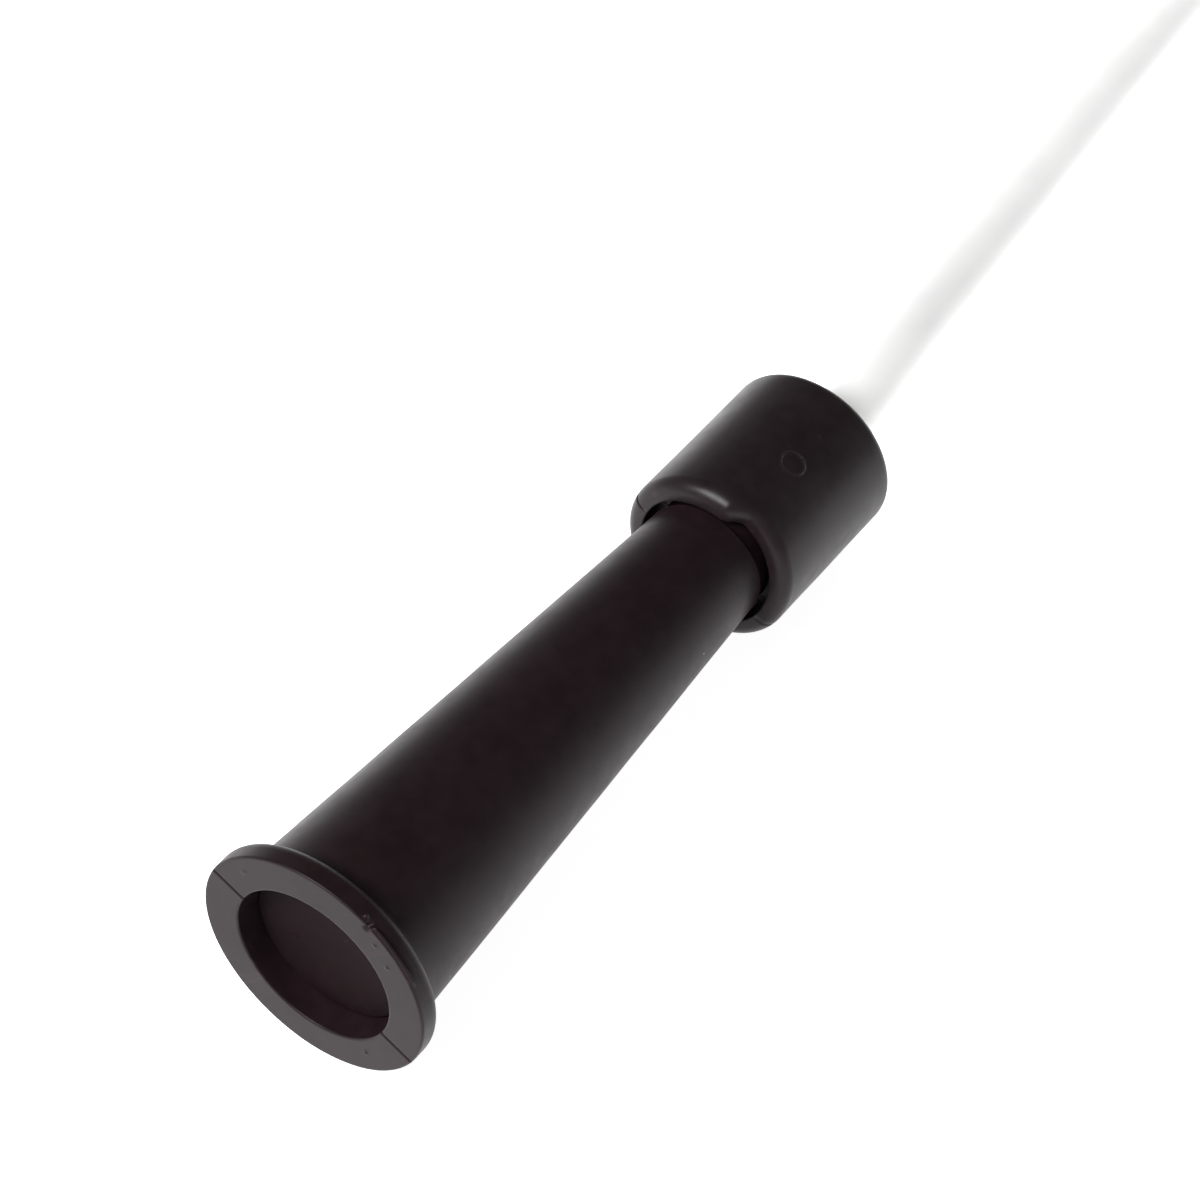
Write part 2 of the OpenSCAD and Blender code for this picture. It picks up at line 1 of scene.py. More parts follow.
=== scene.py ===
"""Looks of a cable shutter release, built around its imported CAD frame. All places are in metres.

A turned piece is described around its own axis by three numbers: a distance along the axis and a
distance from it, both in millimetres, and an angle in degrees. On the handle the distance along
the axis starts at the flange's front face, and the angle starts at the side that the lock pin
points to. On the camera coupling they start at the end of the free cable and straight up.
"""

import json
import math

import bmesh
import bpy
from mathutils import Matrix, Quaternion, Vector, noise


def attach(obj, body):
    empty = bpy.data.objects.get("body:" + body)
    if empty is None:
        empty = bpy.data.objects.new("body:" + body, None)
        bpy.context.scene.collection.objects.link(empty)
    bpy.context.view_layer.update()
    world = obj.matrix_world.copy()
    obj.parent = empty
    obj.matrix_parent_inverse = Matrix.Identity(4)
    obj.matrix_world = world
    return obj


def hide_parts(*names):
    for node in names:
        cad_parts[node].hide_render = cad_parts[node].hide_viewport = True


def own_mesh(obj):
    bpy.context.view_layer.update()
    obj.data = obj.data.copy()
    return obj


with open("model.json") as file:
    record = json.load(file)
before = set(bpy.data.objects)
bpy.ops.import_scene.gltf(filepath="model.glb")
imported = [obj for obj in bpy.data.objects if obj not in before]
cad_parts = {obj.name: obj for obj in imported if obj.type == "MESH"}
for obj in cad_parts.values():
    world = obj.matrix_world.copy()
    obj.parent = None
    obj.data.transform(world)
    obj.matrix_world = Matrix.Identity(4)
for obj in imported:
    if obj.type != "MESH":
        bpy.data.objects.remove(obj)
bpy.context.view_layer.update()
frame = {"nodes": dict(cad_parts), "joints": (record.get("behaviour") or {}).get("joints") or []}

MM = 0.001
joints = {joint["name"]: joint for joint in frame["joints"]}


class Axis:
    """A straight line with round coordinates about it."""

    def __init__(self, origin, along, zero):
        self.origin = Vector(origin)
        self.along = Vector(along).normalized()
        self.zero = Vector(zero).normalized()
        self.quarter = self.along.cross(self.zero)

    def point(self, along, radius, angle):
        turn = math.radians(angle)
        out = math.cos(turn) * self.zero + math.sin(turn) * self.quarter
        return self.origin + MM * (along * self.along + radius * out)


# How far along the handle and the coupling the pivots of their joints are, in millimetres
COLLAR_PIVOT_AT = 60
SPIN_PIVOT_AT = 18
handle_dir = Vector(joints["plunger_press"]["axis"])
handle_start = Vector(joints["collar_turn"]["pos_m"]) - COLLAR_PIVOT_AT * MM * handle_dir
HANDLE = Axis(handle_start, handle_dir, joints["lock_pin_slide"]["axis"])
tip_dir = Vector(joints["coupling_spin"]["axis"])
tip_start = Vector(joints["coupling_spin"]["pos_m"]) - SPIN_PIVOT_AT * MM * tip_dir
TIP = Axis(tip_start, tip_dir, (0, 0, 1))

# ---- Camera ---------------------------------------------------------------------------------

# Azimuth in degrees from -Y, positive towards +X, elevation above the floor, lens and sensor in mm
CAMERA_PLACE = Vector((-152.15, -110.62, 225.19)) * MM
CAMERA_AZIMUTH = -54.5
CAMERA_ELEVATION = 47.5
CAMERA_ROLL = -0.7
CAMERA_LENS = 105.6
SENSOR_WIDTH = 36


def make_camera():
    azimuth = math.radians(CAMERA_AZIMUTH)
    elevation = math.radians(CAMERA_ELEVATION)
    flat = math.cos(elevation)
    back = Vector((math.sin(azimuth) * flat, -math.cos(azimuth) * flat, math.sin(elevation)))
    data = bpy.data.cameras.new("camera")
    data.lens = CAMERA_LENS
    data.sensor_width = SENSOR_WIDTH
    data.clip_start = 0.01
    data.clip_end = 20
    camera = bpy.data.objects.new("camera", data)
    camera.location = CAMERA_PLACE
    camera.rotation_mode = "QUATERNION"
    roll = Quaternion((0, 0, 1), math.radians(CAMERA_ROLL))
    camera.rotation_quaternion = (-back).to_track_quat("-Z", "Y") @ roll
    bpy.context.scene.collection.objects.link(camera)
    bpy.context.scene.camera = camera


# ---- Shader helpers ---------------------------------------------------------------------------


class Shader:
    """A material with a Principled shader, and short calls for the nodes that drive it."""

    def __init__(self, name, **uniform):
        self.material = bpy.data.materials.new(name)
        self.material.use_nodes = True
        self.tree = self.material.node_tree
        self.surface = self.tree.nodes["Principled BSDF"]
        self.place = self.add("ShaderNodeTexCoord").outputs["Object"]
        for socket, value in uniform.items():
            self.surface.inputs[socket.replace("_", " ")].default_value = value

    def add(self, kind, inputs=(), **settings):
        made = self.tree.nodes.new(kind)
        for name, value in settings.items():
            setattr(made, name, value)
        for name, value in dict(inputs).items():
            if isinstance(value, bpy.types.NodeSocket):
                self.tree.links.new(value, made.inputs[name])
            else:
                made.inputs[name].default_value = value
        return made

    def drive(self, socket, value):
        self.tree.links.new(value, self.surface.inputs[socket])

    def noise(self, size_mm, detail=3.0, stretch=(1, 1, 1)):
        """Noise from 0 to 1 whose features are about size_mm across."""
        place = self.add("ShaderNodeMapping", {"Vector": self.place, "Scale": stretch}).outputs[0]
        inputs = {"Vector": place, "Scale": 1 / (size_mm * MM), "Detail": detail}
        return self.add("ShaderNodeTexNoise", inputs).outputs["Fac"]

    def span(self, value, low, high, to_low=0.0, to_high=1.0):
        """The value, spread from low..high to to_low..to_high."""
        inputs = {"Value": value, "From Min": low, "From Max": high, "To Min": to_low, "To Max": to_high}
        return self.add("ShaderNodeMapRange", inputs).outputs[0]

    def math(self, operation, a, b):
        made = self.add("ShaderNodeMath", {0: a, 1: b}, operation=operation)
        return made.outputs[0]

    def blend(self, share, a, b):
        made = self.add("ShaderNodeMix", {"Factor": share}, data_type="RGBA")
        for socket, value in ((made.inputs[6], a), (made.inputs[7], b)):
            if isinstance(value, bpy.types.NodeSocket):
                self.tree.links.new(value, socket)
            else:
                socket.default_value = (*value, 1)
        return made.outputs[2]

    def specks(self, spacing_mm, size, share):
        """1 on a few small grains, one at most for each cell of the spacing, and 0 between them."""
        inputs = {"Vector": self.place, "Scale": 1 / (spacing_mm * MM)}
        cells = self.add("ShaderNodeTexVoronoi", inputs)
        near = self.span(cells.outputs["Distance"], size, size * 0.6)
        chosen = self.math("LESS_THAN", cells.outputs["Color"], share)
        return self.math("MULTIPLY", near, chosen)

    def scratches(self, spacing_mm, stretch, share):
        """1 on a few fine lines that run across the stretch, and 0 between them."""
        lines = self.noise(spacing_mm, 1.0, stretch)
        fine = self.math("ABSOLUTE", self.math("SUBTRACT", lines, 0.5), 0.0)
        broken = self.span(self.noise(spacing_mm * 6, 1.0), 1 - share, 1 - share + 0.06)
        return self.math("MULTIPLY", self.span(fine, 0.012, 0.002), broken)

    def bump(self, *layers):
        """Raises the surface by each (value, height in mm) of the layers, one on the other."""
        normal = None
        for value, height_mm in layers:
            inputs = {"Height": value, "Distance": height_mm * MM, "Strength": 1.0}
            if normal is not None:
                inputs["Normal"] = normal
            normal = self.add("ShaderNodeBump", inputs).outputs[0]
        self.drive("Normal", normal)


def plastic(name, dark, light, rough, dust, shine):
    """Satin moulded plastic: a fine grain, soft flow marks, light wear, fine scratches and dust."""
    made = Shader(name, IOR=1.5, Specular_IOR_Level=shine)
    grain = made.noise(0.09, 2.0)
    flow = made.noise(5.5, 2.0, (1, 0.6, 0.6))
    cloud = made.noise(1.6, 4.0)
    scratch = made.scratches(1.7, (0.25, 1, 1), 0.3)
    speck = made.specks(2.1, 0.05, dust)
    worn = made.span(made.add("ShaderNodeNewGeometry").outputs["Pointiness"], 0.53, 0.62)
    colour = made.blend(made.span(made.math("ADD", flow, cloud), 0.75, 1.25), dark, light)
    colour = made.blend(made.math("MULTIPLY", worn, 0.35), colour, [c * 2.6 for c in light])
    colour = made.blend(made.math("MULTIPLY", scratch, 0.5), colour, [c * 3.2 for c in light])
    colour = made.blend(made.math("MULTIPLY", speck, 0.8), colour, (0.42, 0.39, 0.38))
    made.drive("Base Color", colour)
    uneven = made.span(cloud, 0.3, 0.7, rough - 0.035, rough + 0.045)
    made.drive("Roughness", made.math("ADD", uneven, made.math("MULTIPLY", speck, 0.3)))
    made.bump((flow, 0.012), (grain, 0.0035), (scratch, -0.004), (speck, 0.03))
    return made.material


def metal(name, colour, tarnish, rough, ring_mm, axis):
    """Turned metal: fine rings from the tool along the axis, and a thin uneven tarnish."""
    made = Shader(name, Metallic=1.0)
    stretch = {"handle": (1, 0.05, 0.05), "tip": (0.05, 1, 0.05), "none": (1, 1, 1)}[axis]
    rings = made.noise(ring_mm, 2.0, stretch)
    cloud = made.noise(1.1, 4.0)
    made.drive("Base Color", made.blend(made.span(cloud, 0.45, 0.75), colour, tarnish))
    both = made.math("ADD", made.math("MULTIPLY", rings, 0.5), made.math("MULTIPLY", cloud, 0.5))
    made.drive("Roughness", made.span(both, 0.3, 0.7, rough - 0.08, rough + 0.12))
    made.bump((rings, 0.006), (made.specks(0.9, 0.05, 0.12), -0.02))
    return made.material


def sheath_plastic_painted_glow(name):
    """Milky soft tube that lets a little light through, with faint lines from its extrusion, and a faint
    painted glow all over it.
    """
    made = Shader(
        name,
        IOR=1.48,
        Subsurface_Weight=0.35,
        Subsurface_Radius=(1.0, 0.97, 0.92),
        Subsurface_Scale=0.0016,
        # Painted glow: a faint white emission makes the whole tube look more brightly lit than the lamps
        # make it.
        Emission_Color=(1, 1, 1, 1),
        Emission_Strength=0.12,
    )
    cloud = made.noise(3.5, 3.0)
    fine = made.noise(0.25, 2.0)
    grime = made.specks(3.1, 0.04, 0.15)
    colour = made.blend(made.span(cloud, 0.35, 0.65), (0.86, 0.865, 0.86), (0.92, 0.92, 0.91))
    made.drive("Base Color", made.blend(made.math("MULTIPLY", grime, 0.5), colour, (0.5, 0.47, 0.43)))
    made.drive("Roughness", made.span(cloud, 0.3, 0.7, 0.3, 0.42))
    made.bump((cloud, 0.03), (fine, 0.003))
    return made.material


def wound_wire(name, colour, wave_mm):
    """Bare wire wound or twisted tightly, with a dark line between its turns. wave_mm is about 0.8
    of the distance between the dark lines along an axis."""
    made = Shader(name, Metallic=1.0)
    wave = made.add(
        "ShaderNodeTexWave",
        {"Vector": made.place, "Scale": 1 / (2 * wave_mm * MM), "Distortion": 0.4},
        bands_direction="DIAGONAL",
    ).outputs["Fac"]
    dull = made.noise(0.8, 4.0)
    made.drive("Base Color", made.blend(made.span(wave, 0.15, 0.5), [c * 0.3 for c in colour], colour))
    made.drive("Roughness", made.span(dull, 0.3, 0.7, 0.28, 0.5))
    made.bump((wave, 0.06), (dull, 0.004))
    return made.material


GRIP_BLACK = ((0.0102, 0.0053, 0.0066), (0.0142, 0.0079, 0.0095))
COLLAR_BLACK = ((0.0107, 0.0066, 0.0077), (0.0152, 0.01, 0.0114))
BUTTON_BLACK = ((0.0082, 0.0043, 0.0053), (0.0114, 0.0064, 0.0077))
NATURAL_NYLON = ((0.6, 0.58, 0.52), (0.7, 0.68, 0.62))
TIE_BLACK = ((0.02, 0.02, 0.021), (0.032, 0.032, 0.034))
MATERIALS = {
    "grip": plastic("grip_plastic", *GRIP_BLACK, rough=0.38, dust=0.12, shine=0.12),
    "collar": plastic("collar_plastic", *COLLAR_BLACK, rough=0.33, dust=0.1, shine=0.18),
    "button": plastic("button_plastic", *BUTTON_BLACK, rough=0.7, dust=0.2, shine=0.04),
    "sheath": sheath_plastic_painted_glow("sheath_plastic_painted_glow"),
    "steel": metal("turned_steel", (0.62, 0.62, 0.62), (0.45, 0.44, 0.42), 0.3, 0.12, "handle"),
    "spring_steel": metal("spring_steel", (0.5, 0.51, 0.53), (0.33, 0.33, 0.34), 0.34, 0.3, "none"),
    "wire": wound_wire("stranded_wire", (0.6, 0.61, 0.63), 0.5),
    "conduit": wound_wire("wound_conduit", (0.42, 0.43, 0.45), 0.7),
    "brass": metal("turned_brass", (0.72, 0.52, 0.24), (0.45, 0.3, 0.13), 0.32, 0.14, "handle"),
    "nickel": metal("nickel_plate", (0.68, 0.66, 0.61), (0.5, 0.48, 0.43), 0.22, 0.1, "tip"),
    "nylon": plastic("nylon", *NATURAL_NYLON, rough=0.42, dust=0.05, shine=0.5),
    "tie": plastic("tie_plastic", *TIE_BLACK, rough=0.4, dust=0.1, shine=0.5),
}


# ---- Mesh helpers -----------------------------------------------------------------------------


def finish_mesh(name, points, faces, slot, body, nodes=(), sharp_deg=32):
    """Links a closed mesh as one piece: its finish, the body that it rides on and what it replaces."""
    mesh = bpy.data.meshes.new(name)
    mesh.from_pydata(points, [], faces)
    work = bmesh.new()
    work.from_mesh(mesh)
    bmesh.ops.remove_doubles(work, verts=work.verts, dist=1e-7)
    bmesh.ops.dissolve_degenerate(work, edges=work.edges, dist=1e-7)
    bmesh.ops.recalc_face_normals(work, faces=work.faces)
    work.to_mesh(mesh)
    work.free()
    mesh.shade_smooth()
    mesh.set_sharp_from_angle(angle=math.radians(sharp_deg))
    mesh.materials.append(MATERIALS[slot])
    piece = bpy.data.objects.new(name, mesh)
    bpy.context.scene.collection.objects.link(piece)
    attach(piece, body)
    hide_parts(*nodes)
    return piece


def arc(centre_along, centre_radius, radius, start, end, steps=6):
    """Points of an arc in a half profile, where angle 0 points along the axis and 90 away from it."""
    turns = [math.radians(start + (end - start) * i / steps) for i in range(steps + 1)]
    return [(centre_along + radius * math.cos(t), centre_radius + radius * math.sin(t)) for t in turns]


def rows(start, end, step):
    """Points of a straight stretch of a half profile about a step apart, without its own ends."""
    count = max(1, round(math.dist(start, end) / step))
    return [tuple(a + (b - a) * i / count for a, b in zip(start, end)) for i in range(1, count)]


def outward(profile):
    """The direction away from the material at each point of a closed half profile."""
    count = len(profile)
    area = sum(
        profile[i - 1][0] * profile[i][1] - profile[i][0] * profile[i - 1][1] for i in range(count)
    )
    sign = 1 if area > 0 else -1
    found = []
    for i in range(count):
        total = Vector((0, 0))
        for a, b in ((profile[i - 1], profile[i]), (profile[i], profile[(i + 1) % count])):
            edge = Vector(b) - Vector(a)
            if edge.length > 1e-9:
                total += Vector((edge.y, -edge.x)).normalized() * sign
        found.append(total.normalized() if total.length > 1e-6 else total)
    return found


def turned(name, axis, outline, angles, slot, body, nodes=(), relief=None, sharp_deg=32):
    """Sweeps a closed half profile about an axis. outline is the profile, or a function from the
    angle to it. relief(along, radius, angle) raises the surface. Angles that don't come back to
    their start leave two flat ends, which are closed."""
    closed = (angles[-1] - angles[0]) > 359.999
    points = []
    size = 0
    for angle in angles[:-1] if closed else angles:
        profile = outline(angle) if callable(outline) else outline
        size = len(profile)
        out = outward(profile) if relief else None
        for i, (along, radius) in enumerate(profile):
            if relief and radius > 0:
                lifted = relief(along, radius, angle)
                along += lifted * out[i].x
                radius += lifted * out[i].y
            points.append(axis.point(along, radius, angle))
    count = len(points) // size
    faces = [
        (
            j * size + i,
            j * size + (i + 1) % size,
            (j + 1) % count * size + (i + 1) % size,
            (j + 1) % count * size + i,
        )
        for j in range(count if closed else count - 1)
        for i in range(size)
    ]
    if not closed:
        faces += [tuple(range(size)), tuple(range(len(points) - 1, len(points) - size - 1, -1))]
    return finish_mesh(name, points, faces, slot, body, nodes, sharp_deg)


def steps_between(start, end, step, finer=()):
    """Angles from start to end about a step apart. finer holds (from, to, step) for closer ones."""
    count = round((end - start) / step)
    found = {round(start + (end - start) * i / count, 3) for i in range(count + 1)}
    for low, high, close in finer:
        found |= {round(low + close * i, 3) for i in range(round((high - low) / close) + 1)}
    return sorted(a for a in found if start <= a <= end)


def swept(name, path, section, slot, body, nodes=(), twist=0.0, closed=False, up=(0, 0, 1)):
    """Sweeps a flat section of (across, over) points in mm along a path in metres. The section
    keeps its over direction near up, and turns by twist degrees from end to end."""
    points = []
    count = len(path)
    size = len(section)
    up = Vector(up)
    for i, place in enumerate(path):
        before = path[i - 1] if closed or i else path[0]
        after = path[(i + 1) % count] if closed or i < count - 1 else path[-1]
        ahead = (after - before).normalized()
        across = ahead.cross(up).normalized()
        over = across.cross(ahead)
        turn = math.radians(twist * i / (count - 1))
        across, over = (
            math.cos(turn) * across + math.sin(turn) * over,
            math.cos(turn) * over - math.sin(turn) * across,
        )
        points += [place + MM * (a * across + b * over) for a, b in section]
    faces = [
        (
            i * size + j,
            i * size + (j + 1) % size,
            (i + 1) % count * size + (j + 1) % size,
            (i + 1) % count * size + j,
        )
        for i in range(count if closed else count - 1)
        for j in range(size)
    ]
    if not closed:
        faces += [tuple(range(size)), tuple(range(len(points) - 1, len(points) - size - 1, -1))]
    return finish_mesh(name, points, faces, slot, body, nodes)


def ease(low, high, value):
    """0 below low, 1 above high, and a smooth rise between them."""
    share = min(max((value - low) / (high - low), 0), 1)
    return share * share * (3 - 2 * share)


def hump(distance, width):
    """1 in the middle of a small feature, and 0 beyond its width."""
    return 1 - ease(0, width, abs(distance))


def arc_mm(radius, angle):
    """The length of an angle at a radius."""
    return math.radians(angle) * radius


def wrapped(angle):
    """The same angle, from -180 to 180."""
    return (angle + 180) % 360 - 180


def skin_wave(along, radius, angle, depth, size):
    """How far a moulded skin lies below its true surface, in uneven waves of about the size."""
    turn = math.radians(angle)
    place = Vector((along, radius * math.cos(turn), radius * math.sin(turn)))
    return depth * (1 + noise.noise(place / size))


# ---- Cable ------------------------------------------------------------------------------------

# Cable and its route in millimetres, as in the part's source
CORD_D = 5.8
HANDLE_L = 70.4
CORD_INSIDE_FROM = 65
CABLE_START = 76.4
LEAD_ROUTE = (
    (48, 0.8, 7.2), (54, 1.6, 6.3), (61, 2.5, 5.1), (69, 3.5, 3.9), (77, 4.3, 3.2), (86, 5.1, 2.9),
    (97, 5.8, 2.9), (108, 6.3, 2.9), (118, 6.7, 2.9), (128, 6.9, 2.9), (137, 7, 2.9),
)
COIL_CENTRE = (137, 33)
COIL_R = 26
TAIL_ROUTE = (
    (111.8, 26, 9), (112.5, 19.2, 9.5), (114.9, 13.2, 9.7), (118.6, 7.9, 9.7), (123.6, 3.8, 9.5),
    (129.7, 1.2, 8.3), (136.3, 0.2, 6.5), (142.8, 0.4, 4.7), (149, 1.5, 3.4), (154.9, 3.5, 2.9),
    (160.3, 6.6, 2.9), (164.8, 10.8, 3.2), (168.2, 15.8, 3.7), (170.3, 21.3, 4.2), (171, 27, 4.4),
)
# Place on the coil, in degrees: where it starts and stops, and where its first turn climbs on itself
COIL_FROM = -90
COIL_TO = 540
COIL_STEP = 15
CLIMB = (203, 255)
TIP_SHEATH_L = 10
# The smooth curve dips about this much between its points, so all its points are raised by it
CLEAR = 0.06


def coil_point(position):
    turn = math.radians(position)
    height = CORD_D * (0.5 + ease(*CLIMB, position))
    return (COIL_CENTRE[0] + COIL_R * math.cos(turn), COIL_CENTRE[1] + COIL_R * math.sin(turn), height)


def cable_points():
    inside = [HANDLE.point(along, 0, 0) for along in (CORD_INSIDE_FROM, HANDLE_L, CABLE_START)]
    coil = [coil_point(p) for p in range(COIL_FROM + COIL_STEP, COIL_TO, COIL_STEP)]
    free = [MM * Vector((x, y, z + CLEAR)) for x, y, z in (*LEAD_ROUTE, *coil, *TAIL_ROUTE)]
    end = [TIP.point(along, 0, 0) for along in (TIP_SHEATH_L * 0.4, TIP_SHEATH_L)]
    return inside + free + end


def make_cable():
    """One smooth curve from inside the collar, round the coil, and into the far ferrule."""
    points = cable_points()
    data = bpy.data.curves.new("cable", "CURVE")
    data.dimensions = "3D"
    data.bevel_depth = CORD_D / 2 * MM
    data.bevel_resolution = 10
    data.resolution_u = 10
    data.use_fill_caps = True
    data.twist_mode = "MINIMUM"
    spline = data.splines.new("BEZIER")
    spline.bezier_points.add(len(points) - 1)
    for knot, place in zip(spline.bezier_points, points):
        knot.co = place
        knot.handle_left_type = knot.handle_right_type = "AUTO"
    data.materials.append(MATERIALS["sheath"])
    cable = bpy.data.objects.new("cable", data)
    bpy.context.scene.collection.objects.link(cable)
    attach(cable, "handle")
    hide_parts("cord_lead", "cord_coil", "cord_tail", "handle_sheath_end", "tip_sheath_end")
    return cable


# ---- Handle shells ------------------------------------------------------------------------------

# Cone with its flange: the sizes of the part's source, and the visible roundings of its edges
GRIP_L = 53
FLANGE_R = 10.5
FLANGE_T = 2.3
FRONT_ROUND = 0.2
BACK_ROUND = 1
CONE_FILLET = 0.85
BASE_R = 8.75
TIP_R = 5.7
# Neck inside the collar, with the snap lip at its end
NECK_R = 5.35
NECK_END = 68.6
SNAP_W = 1.4
SNAP_H = 0.4
# Bore of the thumb button, down to the ledge that stops it
BORE_R = 7.2
BORE_ROUND = 0.18
LEDGE_AT = 13.2
# Stretches of the hollow as (from, to, radius), from the neck's end back to the button's bore
HOLLOW = (
    (NECK_END, 65.28, 3.92),  # the cable ferrule
    (65.28, 64.28, 4.52),  # its flange
    (64.28, 52.4, 1.7),  # the neck's block, round the rod's end and the wire
    (52.4, 46.5, 4),  # the cone's thin end
    (46.5, 44.9, 1.7),  # a rib round the rod
    (44.9, 31.52, 3.3),  # the bush's body, and room for the clip to travel
    (31.52, 29.98, 5.65),  # the bush's flange
    (29.98, 28.48, 5.25),  # the spring washer
    (28.48, LEDGE_AT, 6),  # the spring
)
# The angle of the parting line, on each side of the handle, and its groove
SEAM = 90
SEAM_DEPTH = 0.11
SEAM_W = 0.2
# Waves of the moulded skin, on the shells
SKIN_DEPTH = 0.02
SKIN_WAVE = 6
# Marks on the rim, by angle: a nick, a curl of flash beside it, a line of flash and a groove under it
NICK_ANGLE = 5
CURL_ANGLE = 1.5
FLASH_START = (6, 8)
FLASH_STOP = (34, 39)
GROOVE_STOP = (28, 36)
# Turn stops on the lower shell's neck, which the tooth in the collar's mouth runs between
STOP_AT = 53.98
STOP_TO = 54.85
STOP_R = 6.5
LUGS = ((127, 139), (221, 233))
# Small raised specks on the flange's face: angle, distance from the axis and height
FACE_SPECKS = ((14, 9.3, 0.09), (27, 8.9, 0.1), (57, 9.6, 0.12), (118, 8.6, 0.12), (-70, 9.1, 0.08))


def cone_r(along):
    """The cone's radius at a distance along the handle."""
    return BASE_R + (TIP_R - BASE_R) * (along - FLANGE_T) / (GRIP_L - FLANGE_T)


def shell_outline(angle):
    """Half profile of a shell: the flange and the cone outside, the neck, and the hollow inside."""
    stop_r = STOP_R if any(low < angle < high for low, high in LUGS) else NECK_R
    front_r = FLANGE_R - FRONT_ROUND
    back_r = FLANGE_R - BACK_ROUND
    cone_from = (FLANGE_T + CONE_FILLET, cone_r(FLANGE_T + CONE_FILLET))
    outside = arc(BORE_ROUND, BORE_R + BORE_ROUND, BORE_ROUND, 270, 180, 3)
    outside += rows((0, BORE_R + BORE_ROUND), (0, front_r), 0.14)
    outside += arc(FRONT_ROUND, front_r, FRONT_ROUND, 180, 90)
    outside += rows((FRONT_ROUND, FLANGE_R), (FLANGE_T - BACK_ROUND, FLANGE_R), 0.12)
    outside += arc(FLANGE_T - BACK_ROUND, back_r, BACK_ROUND, 90, 0, 8)
    outside += arc(FLANGE_T + CONE_FILLET, cone_from[1] + CONE_FILLET, CONE_FILLET, 180, 267, 8)
    outside += rows(cone_from, (GRIP_L, TIP_R), 1.2)
    neck = [(GRIP_L, TIP_R), (GRIP_L + 0.2, TIP_R), (GRIP_L + 0.2, NECK_R), (STOP_AT, NECK_R)]
    neck += [(STOP_AT, stop_r), (STOP_TO, stop_r), (STOP_TO, NECK_R), (NECK_END - SNAP_W, NECK_R)]
    neck += [(NECK_END - SNAP_W, NECK_R + SNAP_H), (NECK_END - 0.3, NECK_R + SNAP_H)]
    neck += [(NECK_END, NECK_R + 0.1)]
    hollow = [point for start, end, r in HOLLOW for point in ((start, r), (end, r))]
    return outside + neck + hollow + [(LEDGE_AT, BORE_R)]


def is_outside(along, radius):
    """Whether a point of a shell is on the flange's face or the outer surface."""
    inside_r = FLANGE_R - 2 if along < FLANGE_T + 0.7 else cone_r(along) - 0.05
    return along < 0.3 or radius > inside_r


def shell_relief(along, radius, angle):
    """Parting groove, an uneven moulded skin, and the marks on the flange's rim."""
    if along > GRIP_L or not is_outside(along, radius):
        return 0
    to_seam = arc_mm(radius, abs(wrapped(angle)) - SEAM)
    lifted = -SEAM_DEPTH * hump(to_seam, SEAM_W)
    lifted -= skin_wave(along, radius, angle, SKIN_DEPTH, SKIN_WAVE)
    on_rim = ease(FLANGE_R - 0.8, FLANGE_R - 0.2, radius)
    nick = hump(arc_mm(radius, angle - NICK_ANGLE), 0.4) * hump(along - 0.1, 0.7) * on_rim
    curl = hump(arc_mm(radius, angle - CURL_ANGLE), 0.35) * hump(along - 0.5, 0.3) * on_rim
    started = ease(*FLASH_START, angle) * on_rim
    flash = hump(along - 0.28, 0.16) * started * (1 - ease(*FLASH_STOP, angle))
    groove = hump(along - 0.6, 0.2) * started * (1 - ease(*GROOVE_STOP, angle))
    lifted += 0.24 * flash - 0.1 * groove - 0.4 * nick + 0.22 * curl
    if along < 0.1:
        for at, from_axis, height in FACE_SPECKS:
            away = math.hypot(arc_mm(radius, angle - at), radius - from_axis)
            lifted += height * hump(away, 0.2)
    return lifted


def make_shells():
    """Both shells. Their angles lie closer at the seams, on the marked side and at the stops' ends."""
    finer = [(SEAM - 3, SEAM, 0.5), (-SEAM, 3 - SEAM, 0.5)]
    finer += [(0, 10, 0.5), (10, 40, 1), (50, 54, 0.5), (75, 79, 0.5)]
    upper = steps_between(-SEAM, SEAM, 2, finer)
    turned("shell_upper", HANDLE, shell_outline, upper, "grip", "handle", ["upper_shell"], shell_relief)
    finer = [(SEAM, SEAM + 3, 0.5), (3 * SEAM - 3, 3 * SEAM, 0.5), (115, 121, 0.5)]
    finer += [(end - 0.2, end + 0.2, 0.2) for lug in LUGS for end in lug]
    lower = steps_between(SEAM, 3 * SEAM, 2, finer)
    turned("shell_lower", HANDLE, shell_outline, lower, "grip", "handle", ["lower_shell"], shell_relief)


# ---- Lock collar --------------------------------------------------------------------------------

# Outside, and the rounded edge of the face that the cable leaves
COLLAR_R = 8
FAR_ROUND = 0.9
# Mouth round the neck, and the thin lip that closes it a little
MOUTH_R = 6.7
MOUTH_FLOOR = 55
MOUTH_ROUND = 1.2
LIP_R = 6.2
LIP_DEPTH = 0.4
LIP_CHAMFER = 0.1
LIP_ROUND = 0.2
# By angle: the mouth's rim steps back over the top, and swells towards that step on its other side
RIM_STEP = 1.1
RIM_STEP_ANGLES = (-14, 4)
SWELL_START = (-80, -14)
SWELL_STOP = (-12, 6)
SWELL_ROUND = 0.45
SWELL_LIP = 0.2
# Bore on the neck, groove round the snap lip, floor behind it and the cable's exit
COLLAR_BORE_R = 5.43
GROOVE_R = 5.95
GROOVE_AT = 67
COLLAR_FLOOR = 68.8
END_BORE_R = 3.1
END_CHAMFER = 0.3
# The pocket whose off-centre round floor drives the lock pin
CAM_R = 5.0
CAM_OFFSET = 1.35
LOCK_AT = 57
CAM_HALF_W = 1.1
# Angles and inner radius of the tooth that runs between the stops
TOOTH = (140, 160)
TOOTH_R = 5.5
COLLAR_SEAM = 94
COLLAR_SEAM_DEPTH = 0.1
COLLAR_SEAM_W = 0.22
COLLAR_SKIN_DEPTH = 0.025
COLLAR_SKIN_WAVE = 5
